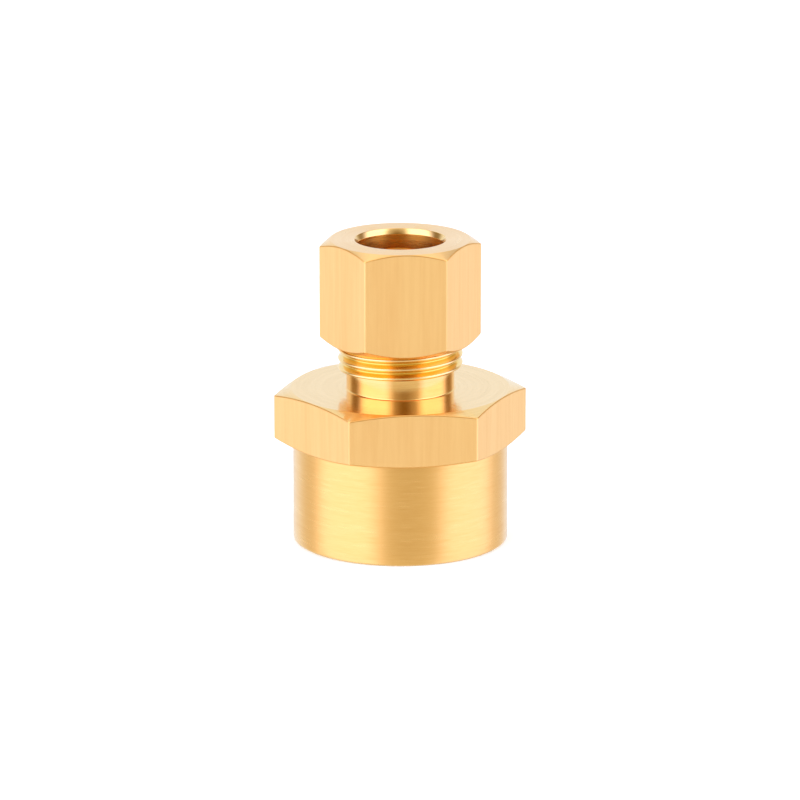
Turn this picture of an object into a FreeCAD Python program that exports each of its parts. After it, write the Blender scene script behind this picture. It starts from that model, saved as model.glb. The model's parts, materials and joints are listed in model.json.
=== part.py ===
"""Brass compression fitting: 3/8 inch tube to 1/2 inch female pipe thread.

Three separate pieces on one vertical axis: the connector body, the compression sleeve
and the compression nut. Millimetres, +Z up, origin at the centre of the pipe socket's
lower end. The body's flange has a flat facing -Y. The nut stands one turn above the
height at which the sleeve meets its seat.
"""

import FreeCAD, Part
import math
import os

# ---------------------------------------------------------------- standard sizes

TUBE_DIAMETER = 9.525            # 3/8 inch outside diameter
NUT_THREAD_PITCH = 25.4 / 24     # 9/16-24, right-hand
NUT_THREAD_CREST = 0.20          # width of the nose thread's crest
NUT_THREAD_ROOT = 0.1655         # width of the nose thread's root
NUT_THREAD_FLANK = 30.0          # each flank's angle from the radial direction
PIPE_TAP_DRILL = 18.256          # 23/32 inch, for 1/2-14 taper pipe thread
PIPE_THREAD_DEPTH = 1.482        # tap drill to the thread's major diameter at the mouth

# ---------------------------------------------------------------- connector body

SKIRT_WALL = 1.54                # over the pipe thread
SKIRT_HEIGHT = 11.5
SKIRT_CHAMFER = 0.25
FLANGE_STEP = 0.3                # the hexagon's flats over the skirt
FLANGE_THICKNESS = 6.1
FLANGE_BEVEL_STEP = 0.1          # from the flats in to the circle where the corner bevels start
FLANGE_BEVEL_ANGLE = 16.0
NECK_UNDERCUT = 0.35             # radial, below the nose thread's root
NECK_LENGTH = 2.4
NECK_FILLET = 0.15
NOSE_HEIGHT = 8.7                # flange top to the nose's end
NOSE_CHAMFER = 0.65
NOSE_LIP = 0.45                  # flat ring at the nose's end
FIRST_CREST_HEIGHT = 0.57        # over the thread's lower end, on the +X side
SEAT_ANGLE = 28.0                # of the cones that squeeze the sleeve, from the axis
TUBE_SOCKET_DEPTH = 7.2          # nose's end to the tube stop
TUBE_STOP_WIDTH = 0.8375         # ledge that the tube's end meets
SOCKET_ROOF = 4.4                # flange top to the end of the pipe socket's straight part
SOCKET_COUNTERSINK = 0.2         # radial, mouth over the pipe thread
DRILL_POINT_ANGLE = 59.0         # half of a 118 degree drill point

# ---------------------------------------------------------------- compression sleeve

SLEEVE_LENGTH = 6.35
SLEEVE_WALL = 0.9175             # at the barrel
SLEEVE_END_WALL = 0.2175         # at the cones' thin ends

# ---------------------------------------------------------------- compression nut

NUT_WALL = 0.8875                # nose thread's crests to the flats, 5/8 inch apart
NUT_HEIGHT = 11.85
NUT_BEVEL_STEP = 0.0625          # from the flats in to the circle where the corner bevels start
NUT_BEVEL_ANGLE = 30.0
NUT_REST_TURN = -2.24            # the nut's flats against the flange's, about +Z
NUT_WEB = 2.2                    # top face to the inner cone
NUT_MOUTH_CHAMFER = 0.34         # widening of the tube hole at the top face
NUT_MOUTH_ANGLE = 60.0           # of that chamfer, down from the top face
NUT_SKIRT_COUNTERSINK = 0.15     # radial, lower mouth over the thread's groove
NUT_RELIEF_WIDTH = 1.0
NUT_RELIEF_DEPTH = 0.05          # below the bottom of the thread's groove

# ---------------------------------------------------------------- clearances

TUBE_IN_SOCKET = 0.075           # radial
TUBE_IN_SLEEVE = 0.07            # radial
TUBE_IN_NUT = 0.0975             # radial
SLEEVE_IN_SEAT = 0.2             # radial, at the seat's mouth
SLEEVE_IN_NUT = 0.15             # radial, in the nut's cone pocket
CONE_GAP = 0.1                   # along the axis, sleeve to each cone when tight
THREAD_CREST_GAP = 0.15          # nut's bore over the nose thread's root
THREAD_ROOT_GAP = 0.1            # nut's groove over the nose thread's crest
THREAD_FLANK_GAP = 0.05          # along the axis
TURNS_TO_SEAT = 1.0              # from rest down to the seat

# ---------------------------------------------------------------- worked out from the above

AXIS = FreeCAD.Vector(0, 0, 1)
ORIGIN = FreeCAD.Vector(0, 0, 0)
SEAT_SLOPE = math.tan(math.radians(SEAT_ANGLE))
FLANK_SLOPE = math.tan(math.radians(NUT_THREAD_FLANK))
DRILL_SLOPE = math.tan(math.radians(DRILL_POINT_ANGLE))

SLEEVE_BORE_R = TUBE_DIAMETER / 2 + TUBE_IN_SLEEVE
SLEEVE_R = SLEEVE_BORE_R + SLEEVE_WALL
SLEEVE_END_R = SLEEVE_BORE_R + SLEEVE_END_WALL

SOCKET_R = TUBE_DIAMETER / 2 + TUBE_IN_SOCKET
PASSAGE_R = SOCKET_R - TUBE_STOP_WIDTH
SEAT_MOUTH_R = SLEEVE_R + SLEEVE_IN_SEAT
CREST_R = SEAT_MOUTH_R + NOSE_LIP + NOSE_CHAMFER
ROOT_R = CREST_R - (NUT_THREAD_PITCH - NUT_THREAD_CREST - NUT_THREAD_ROOT) / 2 / FLANK_SLOPE
NECK_R = ROOT_R - NECK_UNDERCUT

PIPE_R = PIPE_TAP_DRILL / 2
PIPE_MOUTH_R = PIPE_R + PIPE_THREAD_DEPTH + SOCKET_COUNTERSINK
SKIRT_R = PIPE_R + PIPE_THREAD_DEPTH + SKIRT_WALL
FLANGE_FLATS = 2 * (SKIRT_R + FLANGE_STEP)

NUT_BORE_R = TUBE_DIAMETER / 2 + TUBE_IN_NUT
NUT_POCKET_R = SLEEVE_R + SLEEVE_IN_NUT
NUT_THREAD_BORE_R = ROOT_R + THREAD_CREST_GAP
NUT_GROOVE_R = CREST_R + THREAD_ROOT_GAP
NUT_FLATS = 2 * (CREST_R + NUT_WALL)

FLANGE_TOP = SKIRT_HEIGHT + FLANGE_THICKNESS
SOCKET_DEPTH = FLANGE_TOP - SOCKET_ROOF
THREAD_START = FLANGE_TOP + NECK_LENGTH
NOSE_TOP = FLANGE_TOP + NOSE_HEIGHT
SEAT_BOTTOM = NOSE_TOP - (SEAT_MOUTH_R - SOCKET_R) / SEAT_SLOPE
TUBE_STOP = NOSE_TOP - TUBE_SOCKET_DEPTH

SLEEVE_SEATED = SEAT_BOTTOM + (SLEEVE_END_R - SOCKET_R) / SEAT_SLOPE + CONE_GAP
SLEEVE_BOTTOM = SLEEVE_SEATED + TURNS_TO_SEAT * NUT_THREAD_PITCH
SLEEVE_TOP = SLEEVE_BOTTOM + SLEEVE_LENGTH

WEB_BOTTOM = SLEEVE_TOP + CONE_GAP + (SLEEVE_END_R - NUT_BORE_R) / SEAT_SLOPE
NUT_TOP = WEB_BOTTOM + NUT_WEB
NUT_BOTTOM = NUT_TOP - NUT_HEIGHT


# ---------------------------------------------------------------- shapes

def revolved(outline):
    """Solid of revolution about the Z axis from a closed outline of (radius, height) corners."""
    corners = [FreeCAD.Vector(radius, 0, height) for radius, height in outline]
    wire = Part.makePolygon(corners + corners[:1])
    return Part.Face(wire).revolve(ORIGIN, AXIS, 360)


def hexagon_prism(across_flats, low, high, turn):
    """Upright hexagon with a flat facing -Y, turned about the axis by the given degrees."""
    corner_r = across_flats / math.sqrt(3)
    corners = []
    for n in range(6):
        angle = math.radians(60 * n + turn)
        corners.append(FreeCAD.Vector(corner_r * math.cos(angle), corner_r * math.sin(angle), low))
    face = Part.Face(Part.makePolygon(corners + corners[:1]))
    return face.extrude(AXIS * (high - low))


def bevelled_hexagon(across_flats, low, high, turn, bevel_step, bevel_angle):
    """Hexagon prism with its corners turned down at both ends, up to a step inside the flats."""
    corner_r = across_flats / math.sqrt(3)
    circle_r = across_flats / 2 - bevel_step
    drop = (corner_r - circle_r) * math.tan(math.radians(bevel_angle))
    turned = revolved([
        (0, low),
        (circle_r, low),
        (corner_r, low + drop),
        (corner_r, high - drop),
        (circle_r, high),
        (0, high),
    ])
    return hexagon_prism(across_flats, low, high, turn).common(turned)


def cut_groove(blank, outline, start_height, turns, phase_height):
    """Blank with a right-hand helical groove cut upwards into it, one whole turn after another.

    The outline holds (radius, height) corners, with height 0 on the line that the helix
    follows. That line crosses the +X side at phase_height plus whole pitches.
    """
    corners = [FreeCAD.Vector(radius, 0, height) for radius, height in outline]
    profile = Part.makePolygon(corners + corners[:1])
    helix = Part.makeHelix(NUT_THREAD_PITCH, NUT_THREAD_PITCH, CREST_R)
    cutter = Part.Wire(helix.Edges).makePipeShell([profile], True, True)
    if cutter.Volume < 0:
        cutter.reverse()
    cutter.rotate(ORIGIN, AXIS, 360 * (start_height - phase_height) / NUT_THREAD_PITCH)
    cutter.translate(AXIS * start_height)
    for _ in range(turns):
        blank = blank.cut(cutter)
        cutter.translate(AXIS * NUT_THREAD_PITCH)
    return blank


def one_solid(shape, name):
    """The shape as a single clean solid."""
    shape = shape.removeSplitter()
    if len(shape.Solids) != 1 or not shape.isValid():
        raise ValueError(f"{name} is not one valid solid")
    return shape.Solids[0]


# ---------------------------------------------------------------- nose and nut threads

CREST_PHASE = THREAD_START + FIRST_CREST_HEIGHT
GROOVE_PHASE = CREST_PHASE + NUT_THREAD_PITCH / 2
CUTTER_OVERREACH = 0.05          # past the surface that a groove is cut into
CUTTER_OVERRUN = NUT_THREAD_PITCH * 0.6


def groove_outline(narrow_r, narrow_half_width, wide_r):
    """Corners of a thread groove that widens along its flanks from one radius to another."""
    wide_half_width = narrow_half_width + abs(wide_r - narrow_r) * FLANK_SLOPE
    return [
        (narrow_r, -narrow_half_width),
        (wide_r, -wide_half_width),
        (wide_r, wide_half_width),
        (narrow_r, narrow_half_width),
    ]


def cut_nose_thread(body):
    """Body with the groove between the nose thread's crests, from the neck past the end."""
    outline = groove_outline(ROOT_R, NUT_THREAD_ROOT / 2, CREST_R + CUTTER_OVERREACH)
    start = THREAD_START - CUTTER_OVERRUN
    turns = math.ceil((NOSE_TOP + CUTTER_OVERRUN - start) / NUT_THREAD_PITCH)
    return cut_groove(body, outline, start, turns, GROOVE_PHASE)


def cut_nut_thread(nut, end):
    """Nut with the groove that holds the nose thread's ridge, from below up to the given height."""
    half_crest = NUT_THREAD_CREST / 2 + THREAD_FLANK_GAP
    half_bottom = half_crest - THREAD_ROOT_GAP * FLANK_SLOPE
    outline = groove_outline(NUT_GROOVE_R, half_bottom, NUT_THREAD_BORE_R - CUTTER_OVERREACH)
    turns = math.ceil((end - NUT_BOTTOM + CUTTER_OVERRUN) / NUT_THREAD_PITCH)
    return cut_groove(nut, outline, end - turns * NUT_THREAD_PITCH, turns, CREST_PHASE)


# ---------------------------------------------------------------- the three pieces

def connector_body():
    """Pipe socket, hexagon flange, neck and threaded nose, in one piece."""
    flange_middle = SKIRT_HEIGHT + FLANGE_THICKNESS / 2
    turned = revolved([
        (0, 0),
        (SKIRT_R - SKIRT_CHAMFER, 0),
        (SKIRT_R, SKIRT_CHAMFER),
        (SKIRT_R, flange_middle),
        (NECK_R, flange_middle),
        (NECK_R, THREAD_START),
        (CREST_R, THREAD_START),
        (CREST_R, NOSE_TOP - NOSE_CHAMFER),
        (CREST_R - NOSE_CHAMFER, NOSE_TOP),
        (0, NOSE_TOP),
    ])
    flange = bevelled_hexagon(
        FLANGE_FLATS, SKIRT_HEIGHT, FLANGE_TOP, 0, FLANGE_BEVEL_STEP, FLANGE_BEVEL_ANGLE
    )
    body = turned.fuse(flange).removeSplitter()
    neck_base = [
        edge for edge in body.Edges
        if isinstance(edge.Curve, Part.Circle)
        and math.isclose(edge.Curve.Radius, NECK_R)
        and math.isclose(edge.Curve.Center.z, FLANGE_TOP)
    ]
    body = body.makeFillet(NECK_FILLET, neck_base)

    drill_point = (PIPE_R - PASSAGE_R) / DRILL_SLOPE
    bore = revolved([
        (0, 0),
        (PIPE_MOUTH_R, 0),
        (PIPE_R, PIPE_MOUTH_R - PIPE_R),
        (PIPE_R, SOCKET_DEPTH),
        (PASSAGE_R, SOCKET_DEPTH + drill_point),
        (PASSAGE_R, TUBE_STOP),
        (SOCKET_R, TUBE_STOP),
        (SOCKET_R, SEAT_BOTTOM),
        (SEAT_MOUTH_R, NOSE_TOP),
        (0, NOSE_TOP),
    ])
    return one_solid(cut_nose_thread(body.cut(bore)), "connector_body")


def compression_sleeve():
    """Barrel ring with a cone at each end, which the nut squeezes onto the tube."""
    cone = (SLEEVE_R - SLEEVE_END_R) / SEAT_SLOPE
    sleeve = revolved([
        (SLEEVE_BORE_R, SLEEVE_BOTTOM),
        (SLEEVE_END_R, SLEEVE_BOTTOM),
        (SLEEVE_R, SLEEVE_BOTTOM + cone),
        (SLEEVE_R, SLEEVE_TOP - cone),
        (SLEEVE_END_R, SLEEVE_TOP),
        (SLEEVE_BORE_R, SLEEVE_TOP),
    ])
    return one_solid(sleeve, "compression_sleeve")


def compression_nut():
    """Hexagon nut with the tube hole through its web, a cone for the sleeve, and the thread."""
    blank = bevelled_hexagon(
        NUT_FLATS, NUT_BOTTOM, NUT_TOP, NUT_REST_TURN, NUT_BEVEL_STEP, NUT_BEVEL_ANGLE
    )
    mouth_depth = NUT_MOUTH_CHAMFER * math.tan(math.radians(NUT_MOUTH_ANGLE))
    pocket_bottom = WEB_BOTTOM - (NUT_POCKET_R - NUT_BORE_R) / SEAT_SLOPE
    relief_top = pocket_bottom - (NUT_THREAD_BORE_R - NUT_POCKET_R) / DRILL_SLOPE
    relief_bottom = relief_top - NUT_RELIEF_WIDTH
    relief_r = NUT_GROOVE_R + NUT_RELIEF_DEPTH
    skirt_mouth_r = NUT_GROOVE_R + NUT_SKIRT_COUNTERSINK
    skirt_mouth_depth = skirt_mouth_r - NUT_THREAD_BORE_R
    bore = revolved([
        (0, NUT_BOTTOM),
        (skirt_mouth_r, NUT_BOTTOM),
        (NUT_THREAD_BORE_R, NUT_BOTTOM + skirt_mouth_depth),
        (NUT_THREAD_BORE_R, relief_bottom),
        (relief_r, relief_bottom),
        (relief_r, relief_top),
        (NUT_THREAD_BORE_R, relief_top),
        (NUT_POCKET_R, pocket_bottom),
        (NUT_BORE_R, WEB_BOTTOM),
        (NUT_BORE_R, NUT_TOP - mouth_depth),
        (NUT_BORE_R + NUT_MOUTH_CHAMFER, NUT_TOP),
        (0, NUT_TOP),
    ])
    relief_middle = (relief_bottom + relief_top) / 2
    return one_solid(cut_nut_thread(blank.cut(bore), relief_middle), "compression_nut")


PIECES = (connector_body, compression_sleeve, compression_nut)

os.makedirs("parts", exist_ok=True)
for make in PIECES:
    make().exportStep(f"parts/{make.__name__}.step")
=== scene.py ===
"""A brass compression fitting on a pale floor in soft studio light.

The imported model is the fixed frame. Its three solids are shown as three finished meshes, each one
closed shell: the connector body, the sleeve and the nut. Sizes are in millimetres in the classes
below, and become metres where a vertex is placed.
"""

import json
import logging
import math
from collections.abc import Callable
from dataclasses import dataclass, field
from enum import Enum, IntEnum

import bmesh
import bpy
from mathutils import Matrix, Vector


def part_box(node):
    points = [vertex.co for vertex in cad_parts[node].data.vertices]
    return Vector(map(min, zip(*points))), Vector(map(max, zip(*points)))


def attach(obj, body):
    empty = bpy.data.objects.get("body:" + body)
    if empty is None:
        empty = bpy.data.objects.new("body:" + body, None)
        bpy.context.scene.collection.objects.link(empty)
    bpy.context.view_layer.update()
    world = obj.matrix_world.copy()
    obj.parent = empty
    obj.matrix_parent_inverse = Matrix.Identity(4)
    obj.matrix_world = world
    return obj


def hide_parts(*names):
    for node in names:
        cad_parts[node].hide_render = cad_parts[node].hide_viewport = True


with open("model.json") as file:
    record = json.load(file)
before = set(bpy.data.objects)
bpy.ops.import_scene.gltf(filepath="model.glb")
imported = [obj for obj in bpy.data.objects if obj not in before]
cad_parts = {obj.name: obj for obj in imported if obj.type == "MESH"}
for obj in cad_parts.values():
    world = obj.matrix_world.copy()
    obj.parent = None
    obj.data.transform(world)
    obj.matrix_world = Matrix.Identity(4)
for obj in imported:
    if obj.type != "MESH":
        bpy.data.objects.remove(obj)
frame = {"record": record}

LOG = logging.getLogger("fitting")
METRES = 0.001
INCH = 25.4
FULL_TURN = 2 * math.pi

Colour = tuple[float, float, float]

# What an input of a node takes: a number, a colour or vector, or another node's output.
Value = float | Colour | bpy.types.NodeSocket

# A station of a shell: takes a column's angle and its reach to the section's outline, and gives
# the radius and height there, all in millimetres and radians.
Station = Callable[[float, float], tuple[float, float]]


# ---------------------------------------------------------------- finishes


class Lay(Enum):
    """How a face was made, and so which finish it has."""

    TURNED = "turned"
    POLISHED = "polished"
    FACED = "faced"
    END_FACED = "end_faced"
    DRAWN = "drawn"
    THREAD = "thread"
    BORED = "bored"
    EDGE = "edge"


@dataclass(frozen=True)
class BrassFinish:
    """Brass as one operation leaves it.

    Attributes:
        colour: Reflection colour at normal incidence, linear; on a thread, the paler colour that
            the crests get as a painted highlight.
        wear_and_root_shade: The same colour in the duller marks; on a thread, the darker colour that
            the roots get as painted shade.
        roughness: Mean roughness.
        spread: How far the marks move the roughness each way.
        anisotropy: How far the marks stretch a reflection across themselves.
        marks: Marks for each millimetre across their run.
        run: How often the pattern changes along the marks, as a share of how often across them.
        depth: Height of the relief in millimetres.
        haze: Share of the light that scatters evenly.
        coat: Weight of the clear film of oxide and oil, which pales the face at a low angle.
        coat_roughness: Roughness of that film.
    """

    colour: Colour
    wear_and_root_shade: Colour
    roughness: float
    spread: float
    anisotropy: float
    marks: float
    run: float
    depth: float
    haze: float = 0.0
    coat: float = 0.0
    coat_roughness: float = 0.30


FINISHES: dict[Lay, BrassFinish] = {
    Lay.TURNED: BrassFinish(
        colour=(0.99, 0.58, 0.18), wear_and_root_shade=(0.93, 0.52, 0.14), roughness=0.31, spread=0.06,
        anisotropy=0.60, marks=6.0, run=0.06, depth=0.0008, coat=0.5,
    ),
    Lay.POLISHED: BrassFinish(
        colour=(0.98, 0.61, 0.22), wear_and_root_shade=(0.93, 0.54, 0.17), roughness=0.10, spread=0.03,
        anisotropy=0.50, marks=8.0, run=0.03, depth=0.0003,
    ),
    Lay.FACED: BrassFinish(
        colour=(0.96, 0.62, 0.24), wear_and_root_shade=(0.90, 0.56, 0.19), roughness=0.13, spread=0.06,
        anisotropy=0.80, marks=5.0, run=0.03, depth=0.0006, coat=0.45, coat_roughness=0.25,
    ),
    Lay.END_FACED: BrassFinish(
        colour=(0.95, 0.58, 0.21), wear_and_root_shade=(0.92, 0.54, 0.18), roughness=0.30, spread=0.04,
        anisotropy=0.70, marks=6.0, run=0.03, depth=0.0004, coat=0.7, coat_roughness=0.35,
    ),
    Lay.DRAWN: BrassFinish(
        colour=(0.99, 0.61, 0.20), wear_and_root_shade=(0.92, 0.54, 0.16), roughness=0.44, spread=0.07,
        anisotropy=0.45, marks=1.2, run=0.05, depth=0.0013, haze=0.35, coat=1.0, coat_roughness=0.45,
    ),
    # Painted light on the thread: the paler first colour is a painted highlight on the crests, and the
    # darker second colour is painted shade in the roots. BrassShader lays them out by radius.
    Lay.THREAD: BrassFinish(
        colour=(1.00, 0.68, 0.30), wear_and_root_shade=(0.90, 0.57, 0.12), roughness=0.14, spread=0.03,
        anisotropy=0.50, marks=9.0, run=0.03, depth=0.0002,
    ),
    Lay.BORED: BrassFinish(
        colour=(1.00, 0.58, 0.14), wear_and_root_shade=(0.74, 0.35, 0.06), roughness=0.28, spread=0.10,
        anisotropy=0.80, marks=2.5, run=0.02, depth=0.0040,
    ),
    Lay.EDGE: BrassFinish(
        colour=(0.97, 0.55, 0.17), wear_and_root_shade=(0.92, 0.49, 0.14), roughness=0.34, spread=0.04,
        anisotropy=0.0, marks=4.0, run=0.50, depth=0.0003, coat=0.1, coat_roughness=0.40,
    ),
}

# One material for each finish, filled by main before the pieces are built.
MATERIALS: dict[Lay, bpy.types.Material] = {}


class Wiring:
    """Adds nodes to one node tree and links them."""

    def __init__(self, tree: bpy.types.NodeTree) -> None:
        """Empties the tree."""
        self.tree = tree
        tree.nodes.clear()

    def node(self, kind: str, **settings: object) -> bpy.types.Node:
        """Adds a node.

        Args:
            kind: Type name of the node.
            **settings: Properties to set on it.

        Returns:
            The new node.
        """
        made = self.tree.nodes.new(kind)
        for key, value in settings.items():
            setattr(made, key, value)
        return made

    def feed(self, slot: bpy.types.NodeSocket, value: Value) -> None:
        """Sets an input to a value, or links an output to it.

        Args:
            slot: The input.
            value: What it takes.
        """
        if isinstance(value, bpy.types.NodeSocket):
            self.tree.links.new(value, slot)
        else:
            slot.default_value = value

    def math(self, operation: str, first: Value, second: Value = 0.0) -> bpy.types.NodeSocket:
        """Adds a Math node.

        Args:
            operation: Name of the operation.
            first: A number or an output to read.
            second: A number or an output to read.

        Returns:
            The node's output.
        """
        made = self.node("ShaderNodeMath", operation=operation)
        self.feed(made.inputs[0], first)
        self.feed(made.inputs[1], second)
        return made.outputs[0]

    def scaled(self, vector: Value, factor: Value) -> bpy.types.NodeSocket:
        """Adds a node that multiplies a vector or colour by a number.

        Args:
            vector: The vector or colour, or an output to read.
            factor: The number, or an output to read.

        Returns:
            The node's output.
        """
        made = self.node("ShaderNodeVectorMath", operation="SCALE")
        self.feed(made.inputs[0], vector)
        self.feed(made.inputs["Scale"], factor)
        return made.outputs[0]

    def plus(self, first: Value, second: Value) -> bpy.types.NodeSocket:
        """Adds a node that sums two vectors or colours.

        Args:
            first: A vector or colour, or an output to read.
            second: A vector or colour, or an output to read.

        Returns:
            The node's output.
        """
        made = self.node("ShaderNodeVectorMath", operation="ADD")
        self.feed(made.inputs[0], first)
        self.feed(made.inputs[1], second)
        return made.outputs[0]

    def parts(self, vector: Value) -> tuple[bpy.types.NodeSocket, ...]:
        """Adds a node that takes a vector apart.

        Args:
            vector: The vector, or an output to read.

        Returns:
            Outputs for its three parts.
        """
        made = self.node("ShaderNodeSeparateXYZ")
        self.feed(made.inputs[0], vector)
        return tuple(made.outputs)

    def radius(self, x: Value, y: Value) -> bpy.types.NodeSocket:
        """Gives an output for the distance from the Z axis."""
        return self.math("SQRT", self.math("ADD", self.math("POWER", x, 2.0), self.math("POWER", y, 2.0)))

    def step(
        self, value: Value, at_start: float, at_end: float,
        start: float = 0.0, end: float = 1.0, smooth: bool = False,
    ) -> bpy.types.NodeSocket:
        """Adds a Map Range node, which stops at both of its ends.

        Args:
            value: What it reads.
            at_start: Reading at which it gives the start.
            at_end: Reading at which it gives the end.
            start: What it gives there.
            end: What it gives there.
            smooth: True for a step that leaves its start and reaches its end gently.

        Returns:
            The node's output.
        """
        kind = "SMOOTHSTEP" if smooth else "LINEAR"
        made = self.node("ShaderNodeMapRange", clamp=True, interpolation_type=kind)
        for name, number in (
            ("From Min", at_start), ("From Max", at_end), ("To Min", start), ("To Max", end),
        ):
            made.inputs[name].default_value = number
        self.feed(made.inputs["Value"], value)
        return made.outputs[0]


@dataclass(frozen=True)
class Grain:
    """One noise of the marks' pattern.

    Attributes:
        scale: Scale of the noise, on the pattern's own coordinates.
        octaves: Number of octaves.
        share: Its share of the pattern.
    """

    scale: float
    octaves: float
    share: float


class BrassShader:
    """Builds one material from a finish, with its marks laid round the axis or along it.

    Attributes:
        COARSE: The wide bands of the pattern.
        FINE: The single marks.
        NOISE_ROUGHNESS: How strongly the finer octaves count.
        WORN_AT: Pattern value, and below, that has the worn colour.
        CLEAN_AT: Pattern value, and above, that has the clean colour.
        ROUGHEST_AT: Pattern value that is the roughest.
        SMOOTHEST_AT: Pattern value that is the smoothest.
        ROOT_SHADE_RADIUS: Radius in millimetres, and below, where a thread has the darker colour, as
            painted shade in its roots.
        CREST_HIGHLIGHT_RADIUS: Radius, and above, where a thread has the paler colour, as a painted
            highlight on its crests.
        FACE_SLANT: Marks for each millimetre of radius against each millimetre of height.
        RELIEF_GAIN: Bump distance over the finish's depth, as the pattern swings by a fifth or so
            and the bump has half strength.
        RELIEF_STRENGTH: Strength of the bump.
        ROUND_THE_AXIS: Turn of the stretched reflection on marks that run round the axis.
    """

    COARSE = Grain(scale=0.35, octaves=3.0, share=0.45)
    FINE = Grain(scale=1.6, octaves=6.0, share=0.55)
    NOISE_ROUGHNESS = 0.62
    WORN_AT = 0.36
    CLEAN_AT = 0.62
    ROUGHEST_AT = 0.35
    SMOOTHEST_AT = 0.65
    ROOT_SHADE_RADIUS = 6.45
    CREST_HIGHLIGHT_RADIUS = 7.05
    FACE_SLANT = 1.37
    RELIEF_GAIN = 10
    RELIEF_STRENGTH = 0.5
    ROUND_THE_AXIS = 0.25

    def __init__(self, name: str, lay: Lay) -> None:
        """Starts an empty material.

        Args:
            name: Name of the material.
            lay: Which finish it shows.
        """
        self.lay = lay
        self.finish = FINISHES[lay]
        self.material = bpy.data.materials.new(name)
        self.material.use_nodes = True
        self.wiring = Wiring(self.material.node_tree)

    def millimetres(self) -> tuple[bpy.types.NodeSocket, ...]:
        """Gives outputs for the place on the object along each axis, in millimetres."""
        place = self.wiring.node("ShaderNodeTexCoord").outputs["Object"]
        return tuple(self.wiring.math("MULTIPLY", part, 1 / METRES) for part in self.wiring.parts(place))

    def across_and_along(self) -> bpy.types.NodeSocket:
        """Lays out the pattern: quick across the marks and slow along them.

        Returns:
            A vector output to read a noise at.
        """
        math_node = self.wiring.math
        across = self.finish.marks
        along = self.finish.marks * self.finish.run
        x, y, z = self.millimetres()
        if self.lay is Lay.DRAWN:
            rows = ((x, across), (y, across), (z, along))
        elif self.lay is Lay.EDGE:
            rows = ((x, along), (y, along), (z, along))
        else:
            outward = math_node("MULTIPLY", self.wiring.radius(x, y), self.FACE_SLANT)
            rows = ((math_node("ADD", outward, z), across), (x, along), (y, along))
        joined = self.wiring.node("ShaderNodeCombineXYZ")
        for slot, (place, often) in zip(joined.inputs, rows):
            self.wiring.feed(slot, math_node("MULTIPLY", place, often))
        return joined.outputs[0]

    def noise(self, place: bpy.types.NodeSocket, grain: Grain) -> bpy.types.NodeSocket:
        """Adds a Noise Texture.

        Args:
            place: Vector output that the noise is read at.
            grain: Its scale, octaves and share.

        Returns:
            The noise's value times its share.
        """
        made = self.wiring.node("ShaderNodeTexNoise", noise_dimensions="3D")
        made.inputs["Scale"].default_value = grain.scale
        made.inputs["Detail"].default_value = grain.octaves
        made.inputs["Roughness"].default_value = self.NOISE_ROUGHNESS
        self.wiring.feed(made.inputs["Vector"], place)
        return self.wiring.math("MULTIPLY", made.outputs["Fac"], grain.share)

    def build(self) -> bpy.types.Material:
        """Wires colour, roughness and relief from the marks.

        Returns:
            The finished material.
        """
        finish = self.finish
        place = self.across_and_along()
        marks = self.wiring.math("ADD", self.noise(place, self.COARSE), self.noise(place, self.FINE))
        shader = self.wiring.node("ShaderNodeBsdfPrincipled")
        shader.inputs["Metallic"].default_value = 1.0 - finish.haze
        shader.inputs["Anisotropic"].default_value = finish.anisotropy
        shader.inputs["Coat Weight"].default_value = finish.coat
        shader.inputs["Coat Roughness"].default_value = finish.coat_roughness
        self.wiring.feed(shader.inputs["Base Color"], self.colour(marks))
        roughest = finish.roughness + finish.spread
        smoothest = finish.roughness - finish.spread
        rough = self.wiring.step(marks, self.ROUGHEST_AT, self.SMOOTHEST_AT, roughest, smoothest)
        self.wiring.feed(shader.inputs["Roughness"], rough)
        self.wiring.feed(shader.inputs["Normal"], self.relief(marks))
        if self.lay is not Lay.EDGE:
            tangent = self.wiring.node("ShaderNodeTangent", direction_type="RADIAL", axis="Z")
            self.wiring.feed(shader.inputs["Tangent"], tangent.outputs[0])
            if self.lay is not Lay.DRAWN:
                shader.inputs["Anisotropic Rotation"].default_value = self.ROUND_THE_AXIS
        output = self.wiring.node("ShaderNodeOutputMaterial")
        self.wiring.feed(output.inputs["Surface"], shader.outputs[0])
        return self.material

    def colour(self, marks: bpy.types.NodeSocket) -> bpy.types.NodeSocket:
        """Mixes the worn and the clean colour by the marks, or on a thread by the radius, where the
        darker colour is painted shade in the roots and the paler one a painted highlight on the crests.

        Args:
            marks: The pattern's output.

        Returns:
            The mixed colour's output.
        """
        # On a thread the colour goes by radius: darker toward the roots as painted shade, paler toward
        # the crests as a painted highlight.
        if self.lay is Lay.THREAD:
            x, y, _ = self.millimetres()
            share = self.wiring.step(self.wiring.radius(x, y), self.ROOT_SHADE_RADIUS, self.CREST_HIGHLIGHT_RADIUS)
        else:
            share = self.wiring.step(marks, self.WORN_AT, self.CLEAN_AT)
        mix = self.wiring.node("ShaderNodeMix", data_type="RGBA")
        mix.inputs["A"].default_value = (*self.finish.wear_and_root_shade, 1.0)
        mix.inputs["B"].default_value = (*self.finish.colour, 1.0)
        self.wiring.feed(mix.inputs["Factor"], share)
        return mix.outputs["Result"]

    def relief(self, marks: bpy.types.NodeSocket) -> bpy.types.NodeSocket:
        """Adds the bump that the marks make.

        Args:
            marks: The pattern's output.

        Returns:
            The bump's output.
        """
        bump = self.wiring.node("ShaderNodeBump")
        bump.inputs["Strength"].default_value = self.RELIEF_STRENGTH
        bump.inputs["Distance"].default_value = self.finish.depth * METRES * self.RELIEF_GAIN
        self.wiring.feed(bump.inputs["Height"], marks)
        return bump.outputs[0]


# ---------------------------------------------------------------- shapes


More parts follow.
